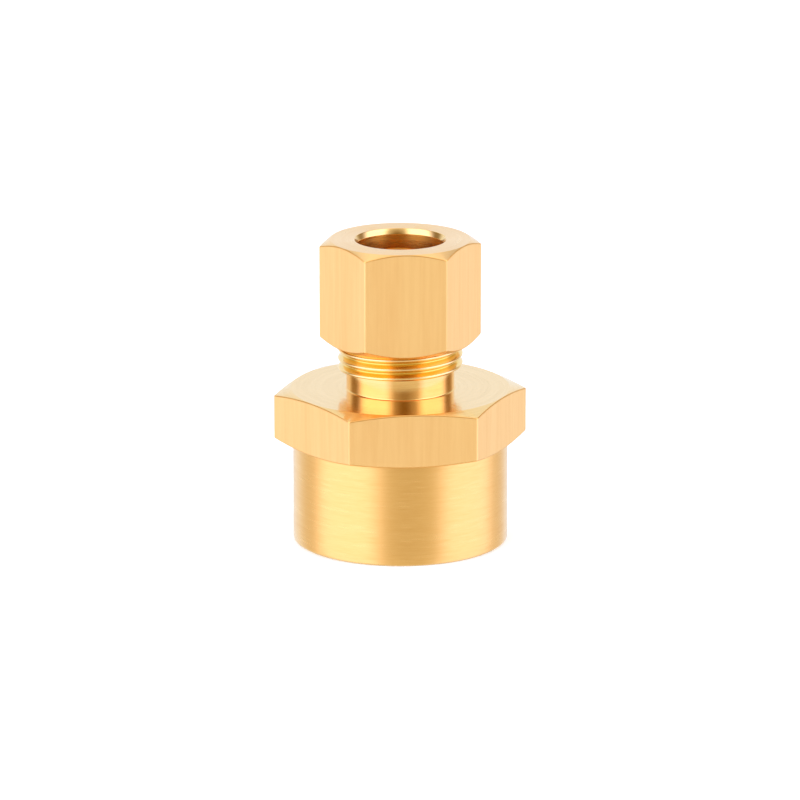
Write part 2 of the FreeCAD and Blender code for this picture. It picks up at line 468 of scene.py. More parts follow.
@dataclass(frozen=True)
class ScrewThread:
    """A single-start right-hand thread as a radius that depends on height and angle.

    Attributes:
        pitch: Height of one turn.
        peak_r: Radius at the middle of the ridge, or of the groove in a bore.
        base_r: Radius between the ridges or grooves.
        peak_half_width: Half the width of the flat at the peak.
        phase: Height at which the peak's middle crosses the +X side.
        taper: Loss of the peak's radius for each millimetre of height.
        softness: How widely the corners are rounded.
        flank_angle: Degrees from the radial direction to each flank.
    """

    pitch: float
    peak_r: float
    base_r: float
    peak_half_width: float
    phase: float
    taper: float = 0.0
    softness: float = 0.07
    flank_angle: float = 30.0

    def radius(self, angle: float, height: float) -> float:
        """Finds the surface.

        Args:
            angle: Angle about the axis from +X, in radians.
            height: Height in millimetres.

        Returns:
            The radius there in millimetres.
        """
        turn = (height - self.phase) / self.pitch - angle / FULL_TURN
        offset = abs(turn - round(turn)) * self.pitch
        peak = self.peak_r - self.taper * height
        slope = 1 / math.tan(math.radians(self.flank_angle))
        flank = peak - max(offset - self.peak_half_width, -self.softness) * slope
        ridge = min(peak, flank) - self.corner(peak, flank)
        return max(ridge, self.base_r) + self.corner(ridge, self.base_r)

    def corner(self, first: float, second: float) -> float:
        """Gives how far a round corner between two radii stands off from the sharp one."""
        overlap = max(self.softness - abs(first - second), 0.0) / self.softness
        return overlap * overlap * self.softness / 4


@dataclass(frozen=True)
class Hexagon:
    """A hexagon bar's section, with the corners that the die rounds.

    Attributes:
        across_flats: Width across the flats.
        corner_radius: Radius of the upright corners.
        turn: Degrees that the section is turned about the axis from a flat facing -Y.
        columns: Number of steps along each flat.
        corner_steps: Number of steps round each corner.
        HALF_FLAT: Half of the angle in radians that a flat takes up.
    """

    HALF_FLAT = math.radians(30)
    across_flats: float
    corner_radius: float = 0.28
    turn: float = 0.0
    columns: int = 34
    corner_steps: int = 5

    @property
    def corner_reach(self) -> float:
        """Distance from the axis to a sharp corner."""
        return self.across_flats / math.sqrt(3)

    def draw(self, bm: bmesh.types.BMesh) -> list[bmesh.types.BMVert]:
        """Draws the rounded outline at height 0.

        Args:
            bm: The mesh to draw in.

        Returns:
            The outline's vertices in order round the axis.
        """
        bmesh.ops.create_circle(bm, segments=6, radius=self.corner_reach * METRES)
        turn = Matrix.Rotation(math.radians(self.turn) - self.HALF_FLAT, 3, "Z")
        bmesh.ops.rotate(bm, verts=bm.verts, cent=(0, 0, 0), matrix=turn)
        setback = self.corner_radius * math.tan(self.HALF_FLAT) * METRES
        bmesh.ops.bevel(
            bm, geom=bm.verts[:], offset=setback, offset_type="OFFSET", affect="VERTICES",
            segments=self.corner_steps, profile=0.5, material=-1,
        )
        flats = [edge for edge in bm.edges if edge.calc_length() > 2 * setback]
        bmesh.ops.subdivide_edges(bm, edges=flats, cuts=self.columns - 1)
        return round_the_axis(bm)


@dataclass(frozen=True)
class Circle:
    """A round section.

    Attributes:
        radius: Radius of the section.
        columns: Number of steps round it.
    """

    radius: float
    columns: int = 192

    def draw(self, bm: bmesh.types.BMesh) -> list[bmesh.types.BMVert]:
        """Draws the circle at height 0.

        Args:
            bm: The mesh to draw in.

        Returns:
            The circle's vertices in order round the axis.
        """
        bmesh.ops.create_circle(bm, segments=self.columns, radius=self.radius * METRES)
        return round_the_axis(bm)


def round_the_axis(bm: bmesh.types.BMesh) -> list[bmesh.types.BMVert]:
    """Gives a mesh's vertices in order round the axis."""
    return sorted(bm.verts, key=lambda vert: math.atan2(vert.co.y, vert.co.x))


class TurnedShell:
    """A closed shell, extruded ring by ring from one section as a tool follows a profile.

    Attributes:
        WIDEST_ROUND: Rounding in millimetres that an edge with full bevel weight gets.
        ROUND_STEPS: Number of segments across each rounded edge.
        CREASE: Angle in radians past which an edge with no rounding is shaded as a sharp one.
        FLATS_WEIGHT: How far large faces decide the shading at their edges, in percent.
    """

    WIDEST_ROUND = 0.4
    ROUND_STEPS = 3
    CREASE = math.radians(38)
    FLATS_WEIGHT = 100

    def __init__(self, name: str, section: Hexagon | Circle) -> None:
        """Draws the first ring.

        Args:
            name: Name of the object to make.
            section: Outline whose columns every ring shares.
        """
        self.name = name
        self.bm = bmesh.new()
        self.rounds = self.bm.edges.layers.float.new("bevel_weight_edge")
        self.ring = section.draw(self.bm)
        self.columns = [
            (math.atan2(v.co.y, v.co.x), math.hypot(v.co.x, v.co.y) / METRES) for v in self.ring
        ]
        self.first_edges: list[bmesh.types.BMEdge] = list(self.bm.edges)
        self.edges = self.first_edges
        self.lays: list[Lay] = []

    def start(self, station: Station, rounding: float = 0.0) -> None:
        """Moves the first ring to its station and tags its rounding in millimetres."""
        self.place(station)
        self.tag(rounding, False)

    def place(self, station: Station) -> None:
        """Moves the newest ring's vertices.

        Args:
            station: Where they go.
        """
        for vert, (angle, reach) in zip(self.ring, self.columns):
            radius, height = station(angle, reach)
            vert.co = Vector((radius * math.cos(angle), radius * math.sin(angle), height)) * METRES

    def tag(self, rounding: float, crisp: bool) -> None:
        """Tags the newest ring's edges.

        Args:
            rounding: Their rounding in millimetres.
            crisp: True where they are sharp to the eye.
        """
        for edge in self.edges:
            edge[self.rounds] = rounding / self.WIDEST_ROUND
            edge.smooth = not crisp

    def dress(self, faces: list[bmesh.types.BMFace], lay: Lay) -> None:
        """Gives faces their finish, and adds it to the shell's finishes when it is new.

        Args:
            faces: The faces.
            lay: Their finish.
        """
        if lay not in self.lays:
            self.lays.append(lay)
        for face in faces:
            face.material_index = self.lays.index(lay)
            face.smooth = True

    def draw_to(self, station: Station, lay: Lay, rounding: float = 0.0, crisp: bool = False) -> None:
        """Extrudes the newest ring to the next station.

        Args:
            station: Where the new ring goes.
            lay: Finish of the band between the two rings.
            rounding: Rounding of the new ring's edge in millimetres.
            crisp: True where the new ring is a sharp edge, however flat its angle.
        """
        grown = bmesh.ops.extrude_edge_only(self.bm, edges=self.edges)["geom"]
        fresh = {item for item in grown if isinstance(item, bmesh.types.BMVert)}
        above = {edge.other_vert(vert): vert for vert in fresh for edge in vert.link_edges}
        band = [item for item in grown if isinstance(item, bmesh.types.BMFace)]
        self.dress(band, lay)
        self.edges = [e for face in band for e in face.edges if all(v in fresh for v in e.verts)]
        self.ring = [above[vert] for vert in self.ring]
        self.place(station)
        self.tag(rounding, crisp)

    def close(self, lay: Lay) -> None:
        """Joins the newest ring to the first one with a last band."""
        made = bmesh.ops.bridge_loops(self.bm, edges=self.edges + self.first_edges)
        self.dress(made["faces"], lay)

    def finish(self) -> bpy.types.Object:
        """Makes the object, with its tagged edges rounded.

        Returns:
            The finished object, at the origin.
        """
        bmesh.ops.recalc_face_normals(self.bm, faces=self.bm.faces)
        for edge in self.bm.edges:
            if edge[self.rounds] == 0.0 and edge.calc_face_angle(0.0) > self.CREASE:
                edge.smooth = False
        mesh = bpy.data.meshes.new(self.name)
        self.bm.to_mesh(mesh)
        self.bm.free()
        piece = bpy.data.objects.new(self.name, mesh)
        bpy.context.scene.collection.objects.link(piece)
        for lay in self.lays:
            mesh.materials.append(MATERIALS[lay])
        round_off = piece.modifiers.new("rounded_edges", "BEVEL")
        round_off.limit_method = "WEIGHT"
        round_off.width = self.WIDEST_ROUND * METRES
        round_off.segments = self.ROUND_STEPS
        round_off.use_clamp_overlap = False
        weighted = piece.modifiers.new("flat_shading_on_flats", "WEIGHTED_NORMAL")
        weighted.weight = self.FLATS_WEIGHT
        weighted.keep_sharp = True
        self.apply_modifiers(piece)
        return piece

    def apply_modifiers(self, piece: bpy.types.Object) -> None:
        """Puts the modifiers' result into the mesh, so that nothing on the piece is live.

        Args:
            piece: The object that has the modifiers.
        """
        depsgraph = bpy.context.evaluated_depsgraph_get()
        finished = bpy.data.meshes.new_from_object(
            piece.evaluated_get(depsgraph), preserve_all_data_layers=True, depsgraph=depsgraph
        )
        piece.modifiers.clear()
        piece.data = finished


def at(radius: float, height: float) -> Station:
    """Gives a round station at one radius and height."""
    return lambda angle, reach: (radius, height)


def on_thread(thread: ScrewThread, height: float, limit_r: float, bore: bool) -> Station:
    """Gives a station on a thread, cut off by a chamfer's radius at that height.

    Args:
        thread: The thread.
        height: Height of the station.
        limit_r: Radius of the chamfer there.
        bore: True where the thread is inside a bore, so that the chamfer widens it.

    Returns:
        The station.
    """
    trim = max if bore else min
    return lambda angle, reach: (trim(thread.radius(angle, height), limit_r), height)


def heights(low: float, high: float, step: float) -> list[float]:
    """Gives evenly spaced heights from one to the other, about a step apart, both ends included."""
    count = max(1, round(abs(high - low) / step))
    return [low + (high - low) * n / count for n in range(count + 1)]


def angles(degrees: float, steps: int) -> list[float]:
    """Gives evenly spaced angles in radians from 0 to some degrees, both ends included."""
    return [math.radians(degrees) * n / steps for n in range(steps + 1)]


def cone_height(wide: float, narrow: float, degrees: float) -> float:
    """Gives the height of a cone between two radii, whose side leaves the axis by some degrees."""
    return (wide - narrow) / math.tan(math.radians(degrees))


class End(IntEnum):
    """An end of a bar, as the way that its face looks along the axis."""

    UPPER = 1
    LOWER = -1


@dataclass(frozen=True)
class HexagonEnd:
    """An end of a hexagon bar that a lathe has faced, with its corners bevelled to a circle.

    Attributes:
        height: Height of the end face.
        circle_r: Radius at which the bevel starts.
        bevel_angle: Fall of the bevel in degrees.
        end: Which end of the bar it is.
        rounding: Radius of the worn edge between the bevel and the flats.
        steps: Steps across that edge.
        inside: How far inside the flats the circle stays, as a share of the rounding.
    """

    height: float
    circle_r: float
    bevel_angle: float
    end: End
    rounding: float
    steps: int = 4
    inside: float = 1.1

    def face(self, radius: float) -> float:
        """Gives the height of the end face or its bevel at a radius."""
        fall = max(0.0, radius - self.circle_r) * math.tan(math.radians(self.bevel_angle))
        return self.height - self.end * fall

    def edge(self, share: float) -> Station:
        """Gives a station on the worn edge.

        Args:
            share: Place across the edge, from the flats at 0 to the bevel at 1.

        Returns:
            The station.
        """
        turn = share * math.pi / 2
        inset = self.rounding * (1 - math.cos(turn))
        drop = self.rounding * (1 - math.sin(turn))
        return lambda angle, reach: (reach - inset, self.face(reach - inset) - self.end * drop)

    def circle(self) -> Station:
        """Gives the station where the bevel starts, kept inside the worn edge.

        Returns:
            The station.
        """

        def place(angle: float, reach: float) -> tuple[float, float]:
            """Places one column."""
            radius = min(self.circle_r, reach - self.rounding * self.inside)
            return radius, self.face(radius)

        return place

    def draw(self, shell: TurnedShell, face_lay: Lay) -> None:
        """Draws the end from the circle out to the flats, or back from them on an upper end.

        Args:
            shell: The shell to draw on.
            face_lay: Finish of the bevel.
        """
        shares = [n / self.steps for n in range(self.steps + 1)]
        if self.end is End.UPPER:
            shell.draw_to(self.edge(shares[0]), Lay.DRAWN)
            for share in shares[1:]:
                shell.draw_to(self.edge(share), Lay.EDGE)
            shell.draw_to(self.circle(), face_lay, crisp=True)
        else:
            shell.draw_to(self.circle(), face_lay, crisp=True)
            shell.draw_to(self.edge(shares[-1]), face_lay)
            for share in reversed(shares[:-1]):
                shell.draw_to(self.edge(share), Lay.EDGE)


# ---------------------------------------------------------------- the three pieces


def bore_radius(name: str) -> float:
    """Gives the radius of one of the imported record's bores by its name."""
    return next(m["dims"]["r_mm"] for m in frame["record"]["mounts"] if m["name"] == name)


@dataclass
class NoseThread:
    """Sizes of the 9/16-24 thread that the nose and the nut share.

    Attributes:
        pitch: Height of one turn.
        major: Diameter over the nose's crests.
        depth: Depth of the nose's groove.
        crest: Width of the nose's crest.
        first_crest: Height of the first crest over the thread's lower end, on the +X side.
        crest_gap: Nut's bore over the nose's root, radial.
        root_gap: Nut's groove over the nose's crest, radial.
        nut_softness: How widely the corners of the nut's groove are rounded.
        steps: Number of rings for each turn.
    """

    pitch: float = INCH / 24
    major: float = 14.1
    depth: float = 0.6
    crest: float = 0.20
    first_crest: float = 0.57
    crest_gap: float = 0.15
    root_gap: float = 0.1
    nut_softness: float = 0.04
    steps: int = 28

    def on_nose(self, start: float) -> ScrewThread:
        """Gives the nose's thread.

        Args:
            start: Height of its lower end.

        Returns:
            The thread.
        """
        crest_r = self.major / 2
        phase = start + self.first_crest
        return ScrewThread(self.pitch, crest_r, crest_r - self.depth, self.crest / 2, phase)

    def in_nut(self, start: float) -> ScrewThread:
        """Gives the nut's thread, which runs round the nose's with a gap.

        Args:
            start: Height of the nose thread's lower end.

        Returns:
            The thread.
        """
        groove_r = self.major / 2 + self.root_gap
        bore_r = self.major / 2 - self.depth + self.crest_gap
        phase = start + self.first_crest
        return ScrewThread(
            self.pitch, groove_r, bore_r, self.crest / 2, phase, softness=self.nut_softness
        )

    def rings(self, low: float, high: float) -> list[float]:
        """Gives the heights of the thread's rings from one height to the other."""
        return heights(low, high, self.pitch / self.steps)


@dataclass
class PipeThread:
    """Sizes of the 1/2-14 taper thread in the pipe socket.

    Attributes:
        pitch: Height of one turn.
        major: Diameter over the groove at the mouth.
        depth: Depth of the socket.
        bottom: Width of the flat at the groove's bottom.
        first_groove: Height of the first groove's middle, on the +X side.
        taper: Loss of radius for each millimetre of height, 1 in 16 on the diameter.
        softness: How widely the corners are rounded.
        run_out: Height of the plain bore above the thread.
        mouth_allowance: Diameter of the mouth's chamfer over the thread.
        steps: Number of rings for each turn.
    """

    pitch: float = INCH / 14
    major: float = 21.22
    depth: float = 13.2
    bottom: float = 0.14
    first_groove: float = 0.9
    taper: float = 1 / 32
    softness: float = 0.08
    run_out: float = 1.5
    mouth_allowance: float = 0.4
    steps: int = 14

    def in_bore(self, bore_r: float) -> ScrewThread:
        """Gives the thread that is cut into a bore."""
        return ScrewThread(
            self.pitch, self.major / 2, bore_r, self.bottom / 2, self.first_groove,
            taper=self.taper, softness=self.softness,
        )


@dataclass
class ConnectorBody:
    """The turned body: pipe socket, hexagon flange, neck and threaded nose.

    Attributes:
        node: The CAD node that it stands for.
        rides_on: The body that it moves with.
        skirt_diameter: Diameter of the pipe socket's outside.
        skirt_height: Height of the flange's lower face.
        skirt_step: Height of each band of the skirt.
        rim_round: Radius of the lower rim.
        flange: Section of the flange.
        flange_thickness: Height of the flange.
        bevel_circle: Diameter at which the flange's bevels start.
        bevel_angle: Fall of those bevels in degrees.
        edge_wear: Radius of the worn edges between the bevels and the flats.
        neck_diameter: Diameter of the neck.
        neck_length: Height of the neck.
        neck_fillet: Radius of the fillet at the neck's foot.
        fillet_steps: Number of steps across that fillet.
        nose_chamfer: Radial width of the chamfer at the nose's end.
        seat_angle: Degrees from the axis to the sleeve's seat.
        seat_mouth_diameter: Diameter of the seat at the nose's end.
        seat_mouth_edge: Rounding of the seat's upper edge.
        tube_socket_depth: Depth of the tube's stop below the nose's end.
        stop_edge: Rounding of the stop's inner edge.
        passage_diameter: Diameter of the water passage.
        drill_point_angle: Degrees from the axis to the drill point's side.
        thread: The nose's thread.
        pipe: The pipe socket's thread.
    """

    node: str = "connector_body"
    rides_on: str = "body"
    skirt_diameter: float = 24.3
    skirt_height: float = 11.5
    skirt_step: float = 1.5
    rim_round: float = 0.36
    flange: Hexagon = field(default_factory=lambda: Hexagon(24.9))
    flange_thickness: float = 6.1
    bevel_circle: float = 24.7
    bevel_angle: float = 16.0
    edge_wear: float = 0.11
    neck_diameter: float = 12.2
    neck_length: float = 2.4
    neck_fillet: float = 0.15
    fillet_steps: int = 5
    nose_chamfer: float = 0.65
    seat_angle: float = 28.0
    seat_mouth_diameter: float = 11.9
    seat_mouth_edge: float = 0.06
    tube_socket_depth: float = 7.2
    stop_edge: float = 0.10
    passage_diameter: float = 8.0
    drill_point_angle: float = 59.0
    thread: NoseThread = field(default_factory=NoseThread)
    pipe: PipeThread = field(default_factory=PipeThread)

    @property
    def flange_top(self) -> float:
        """Height of the flange's upper face."""
        return self.skirt_height + self.flange_thickness

    @property
    def thread_start(self) -> float:
        """Height of the nose thread's lower end."""
        return self.flange_top + self.neck_length

    def build(self) -> bpy.types.Object:
        """Makes the body's mesh.

        Returns:
            The body's object.
        """
        nose_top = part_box(self.node)[1].z / METRES
        shell = TurnedShell("connector_body_finished", self.flange)
        self.draw_outside(shell)
        self.draw_neck(shell)
        self.draw_nose(shell, nose_top)
        self.draw_tube_side(shell, nose_top)
        self.draw_pipe_socket(shell)
        return shell.finish()

    def draw_outside(self, shell: TurnedShell) -> None:
        """Draws the skirt from the lower rim upwards, and the flange.

        Args:
            shell: The shell to draw on.
        """
        skirt_r = self.skirt_diameter / 2
        shell.start(at(skirt_r, 0), self.rim_round)
        for height in heights(0, self.skirt_height, self.skirt_step)[1:]:
            shell.draw_to(at(skirt_r, height), Lay.TURNED)
        for end, height in ((End.LOWER, self.skirt_height), (End.UPPER, self.flange_top)):
            faced = HexagonEnd(height, self.bevel_circle / 2, self.bevel_angle, end, self.edge_wear)
            faced.draw(shell, Lay.FACED)

    def draw_neck(self, shell: TurnedShell) -> None:
        """Draws the flange's upper face, the fillet and the neck.

        Args:
            shell: The shell to draw on.
        """
        neck_r = self.neck_diameter / 2
        fillet = self.neck_fillet
        shell.draw_to(at(neck_r + fillet, self.flange_top), Lay.FACED)
        for turn in angles(90, self.fillet_steps)[1:]:
            radius = neck_r + fillet * (1 - math.sin(turn))
            height = self.flange_top + fillet * (1 - math.cos(turn))
            shell.draw_to(at(radius, height), Lay.POLISHED)
        shell.draw_to(at(neck_r, self.thread_start), Lay.POLISHED)

    def draw_nose(self, shell: TurnedShell, nose_top: float) -> None:
        """Draws the nose's thread up to the chamfer at its end.

        Args:
            shell: The shell to draw on.
            nose_top: Height of the nose's end.
        """
        thread = self.thread.on_nose(self.thread_start)
        chamfer_r = self.thread.major / 2 - self.nose_chamfer
        for height in self.thread.rings(self.thread_start, nose_top):
            limit_r = chamfer_r + nose_top - height
            shell.draw_to(on_thread(thread, height, limit_r, False), Lay.THREAD)

    def draw_tube_side(self, shell: TurnedShell, nose_top: float) -> None:
        """Draws the sleeve's seat, the tube socket and its stop, downwards.

        Args:
            shell: The shell to draw on.
            nose_top: Height of the nose's end.
        """
        socket_r = bore_radius("tube_socket")
        mouth_r = self.seat_mouth_diameter / 2
        seat_bottom = nose_top - cone_height(mouth_r, socket_r, self.seat_angle)
        stop = nose_top - self.tube_socket_depth
        shell.draw_to(at(mouth_r, nose_top), Lay.FACED, self.seat_mouth_edge)
        shell.draw_to(at(socket_r, seat_bottom), Lay.BORED)
        shell.draw_to(at(socket_r, stop), Lay.BORED)
        shell.draw_to(at(self.passage_diameter / 2, stop), Lay.FACED, self.stop_edge)

    def draw_pipe_socket(self, shell: TurnedShell) -> None:
        """Draws the passage, the drill point and the pipe thread, and closes the rim.

        Args:
            shell: The shell to draw on.
        """
        pipe = self.pipe
        bore_r = bore_radius("pipe_socket")
        passage_r = self.passage_diameter / 2
        point = cone_height(bore_r, passage_r, self.drill_point_angle)
        shell.draw_to(at(passage_r, pipe.depth + point), Lay.BORED)
        thread = pipe.in_bore(bore_r)
        mouth_r = (pipe.major + pipe.mouth_allowance) / 2
        for height in heights(pipe.depth, 0, pipe.pitch / pipe.steps):
            if height > pipe.depth - pipe.run_out:
                shell.draw_to(at(bore_r, height), Lay.BORED)
            else:
                shell.draw_to(on_thread(thread, height, mouth_r - height, True), Lay.BORED)
        shell.close(Lay.FACED)


@dataclass
class CompressionSleeve:
    """The loose ring that the nut squeezes onto the tube.

    Attributes:
        node: The CAD node that it stands for.
        rides_on: The body that it moves with.
        bore_diameter: Diameter of the tube's hole.
        diameter: Outer diameter.
        end_diameter: Diameter of both ends.
        cone_angle: Degrees from the axis to the cones.
        bore_edge: Rounding of the edges at the bore.
        end_edge: Rounding of the edges round the ends.
        shoulder: Rounding between the cones and the middle.
    """

    node: str = "compression_sleeve"
    rides_on: str = "sleeve"
    bore_diameter: float = 9.665
    diameter: float = 11.5
    end_diameter: float = 10.1
    cone_angle: float = 28.0
    bore_edge: float = 0.05
    end_edge: float = 0.06
    shoulder: float = 0.20

    def build(self) -> bpy.types.Object:
        """Makes the sleeve's mesh.

        Returns:
            The sleeve's object.
        """
        low, high = (corner.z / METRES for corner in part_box(self.node))
        bore_r = self.bore_diameter / 2
        outer_r = self.diameter / 2
        end_r = self.end_diameter / 2
        cone = cone_height(outer_r, end_r, self.cone_angle)
        shell = TurnedShell("compression_sleeve_finished", Circle(outer_r))
        shell.start(at(bore_r, low), self.bore_edge)
        shell.draw_to(at(end_r, low), Lay.FACED, self.end_edge)
        shell.draw_to(at(outer_r, low + cone), Lay.TURNED, self.shoulder)
        shell.draw_to(at(outer_r, high - cone), Lay.TURNED, self.shoulder)
        shell.draw_to(at(end_r, high), Lay.TURNED, self.end_edge)
        shell.draw_to(at(bore_r, high), Lay.FACED, self.bore_edge)
        shell.close(Lay.BORED)
        return shell.finish()


@dataclass
class CompressionNut:
    """The hexagon nut, with its tube hole, sleeve cone, relief and thread.

    Attributes:
        node: The CAD node that it stands for.
        rides_on: The body that it moves with.
        hexagon: Section of the nut.
        bevel_circle: Diameter at which the bevels start.
        bevel_angle: Fall of the bevels in degrees.
        edge_wear: Radius of the worn edges between the bevels and the flats.
        web: Length of the tube's hole.
        mouth_chamfer: Radial width of the chamfer at that hole.
        mouth_angle: Degrees that the chamfer falls from the level.
        mouth_edge: Rounding of the chamfer's upper edge.
        hole_edge: Rounding of its lower edge.
        web_edge: Rounding of the hole's lower edge.
        cone_angle: Degrees from the axis to the cone that pushes the sleeve.
        pocket_diameter: Diameter of that cone's lower end.
        relief_width: Height of the thread relief.
        relief_depth: Depth of the relief below the thread's groove.
        drill_point_angle: Degrees from the axis to the relief's upper slope.
        countersink: Diameter of the mouth below over the thread's groove.
        thread: The thread that it shares with the nose.
    """

    node: str = "compression_nut"
    rides_on: str = "nut"
    hexagon: Hexagon = field(default_factory=lambda: Hexagon(15.875, turn=-2.24))
    bevel_circle: float = 15.75
    bevel_angle: float = 30.0
    edge_wear: float = 0.09
    web: float = 2.2
    mouth_chamfer: float = 0.34
    mouth_angle: float = 60.0
    mouth_edge: float = 0.06
    hole_edge: float = 0.03
    web_edge: float = 0.04
    cone_angle: float = 28.0
    pocket_diameter: float = 11.8
    relief_width: float = 1.0
    relief_depth: float = 0.05
    drill_point_angle: float = 59.0
    countersink: float = 0.3
    thread: NoseThread = field(default_factory=NoseThread)

    def build(self, thread_start: float) -> bpy.types.Object:
        """Makes the nut's mesh.

        Args:
            thread_start: Height of the nose thread's lower end, which places the shared helix.

        Returns:
            The nut's object.
        """
        low, high = (corner.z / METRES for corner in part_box(self.node))
        thread = self.thread.in_nut(thread_start)
        mouth_r = thread.peak_r + self.countersink / 2
        shell = TurnedShell("compression_nut_finished", self.hexagon)
        shell.start(at(mouth_r, low))
        for end, height in ((End.LOWER, low), (End.UPPER, high)):
            faced = HexagonEnd(height, self.bevel_circle / 2, self.bevel_angle, end, self.edge_wear)
            faced.draw(shell, Lay.END_FACED)
        relief_bottom = self.draw_inside(shell, high, thread)
        for height in self.thread.rings(relief_bottom, low)[:-1]:
            limit_r = mouth_r - (height - low)
            shell.draw_to(on_thread(thread, height, limit_r, True), Lay.THREAD)
        shell.close(Lay.THREAD)
        return shell.finish()

    def draw_inside(self, shell: TurnedShell, high: float, thread: ScrewThread) -> float:
        """Draws the tube's hole, the cone and the thread relief.

        Args:
            shell: The shell to draw on.
            high: Height of the upper face.
            thread: The nut's thread.

        Returns:
            Height of the relief's lower side.
        """
        bore_r = bore_radius("tube_entry")
        pocket_r = self.pocket_diameter / 2
        relief_r = thread.peak_r + self.relief_depth
        mouth_depth = self.mouth_chamfer * math.tan(math.radians(self.mouth_angle))
        web_bottom = high - self.web
        pocket_bottom = web_bottom - cone_height(pocket_r, bore_r, self.cone_angle)
        relief_top = pocket_bottom - cone_height(thread.base_r, pocket_r, self.drill_point_angle)
        relief_bottom = relief_top - self.relief_width
        shell.draw_to(at(bore_r + self.mouth_chamfer, high), Lay.END_FACED, self.mouth_edge)
        shell.draw_to(at(bore_r, high - mouth_depth), Lay.FACED, self.hole_edge)
        shell.draw_to(at(bore_r, web_bottom), Lay.BORED, self.web_edge)
        shell.draw_to(at(pocket_r, pocket_bottom), Lay.BORED)
        shell.draw_to(at(thread.base_r, relief_top), Lay.BORED)
        shell.draw_to(at(relief_r, relief_top), Lay.BORED)
        shell.draw_to(at(relief_r, relief_bottom), Lay.BORED)
        return relief_bottom


# ---------------------------------------------------------------- the studio


@dataclass(frozen=True)
class Softbox:
    """A soft light far away, as a patch of the sky.

    Attributes:
        azimuth: Degrees to its middle, from the side that the object's -Y faces towards +X.
        half_width: Degrees from its middle to its edge.
        low: Lower edge in degrees above the horizon.
        high: Upper edge in degrees above the horizon.
        soft: Degrees over which its edges fade.
        strength: Radiance that it adds, or takes away where it is a dark flag.
        tint: Red, green and blue of its light.
    """

    azimuth: float
    half_width: float
    low: float
    high: float
    soft: float
    strength: float
    tint: Colour = (1.0, 1.0, 1.0)


@dataclass
class Floor:
    """The pale floor, which the object's gloss doesn't see.

    Attributes:
        half_width: Half of its width in metres.
        colour: Its colour.
        roughness: Its roughness.
        glow: Light that it gives off itself.
    """

    half_width: float = 3.0
    colour: Colour = (0.93, 0.93, 0.93)
    roughness: float = 0.9
    glow: float = 0.25

    def build(self) -> None:
        """Makes the floor and its material."""
        bm = bmesh.new()
        bmesh.ops.create_grid(bm, x_segments=1, y_segments=1, size=self.half_width)
        mesh = bpy.data.meshes.new("floor")
        bm.to_mesh(mesh)
        bm.free()
        floor = bpy.data.objects.new("floor", mesh)
        bpy.context.scene.collection.objects.link(floor)
        pale = bpy.data.materials.new("pale_floor")
        pale.use_nodes = True
        shader = pale.node_tree.nodes["Principled BSDF"]
        shader.inputs["Base Color"].default_value = (*self.colour, 1.0)
        shader.inputs["Roughness"].default_value = self.roughness
        shader.inputs["Specular IOR Level"].default_value = 0.0
        shader.inputs["Emission Color"].default_value = (1.0, 1.0, 1.0, 1.0)
        shader.inputs["Emission Strength"].default_value = self.glow
        mesh.materials.append(pale)
        floor.visible_glossy = False


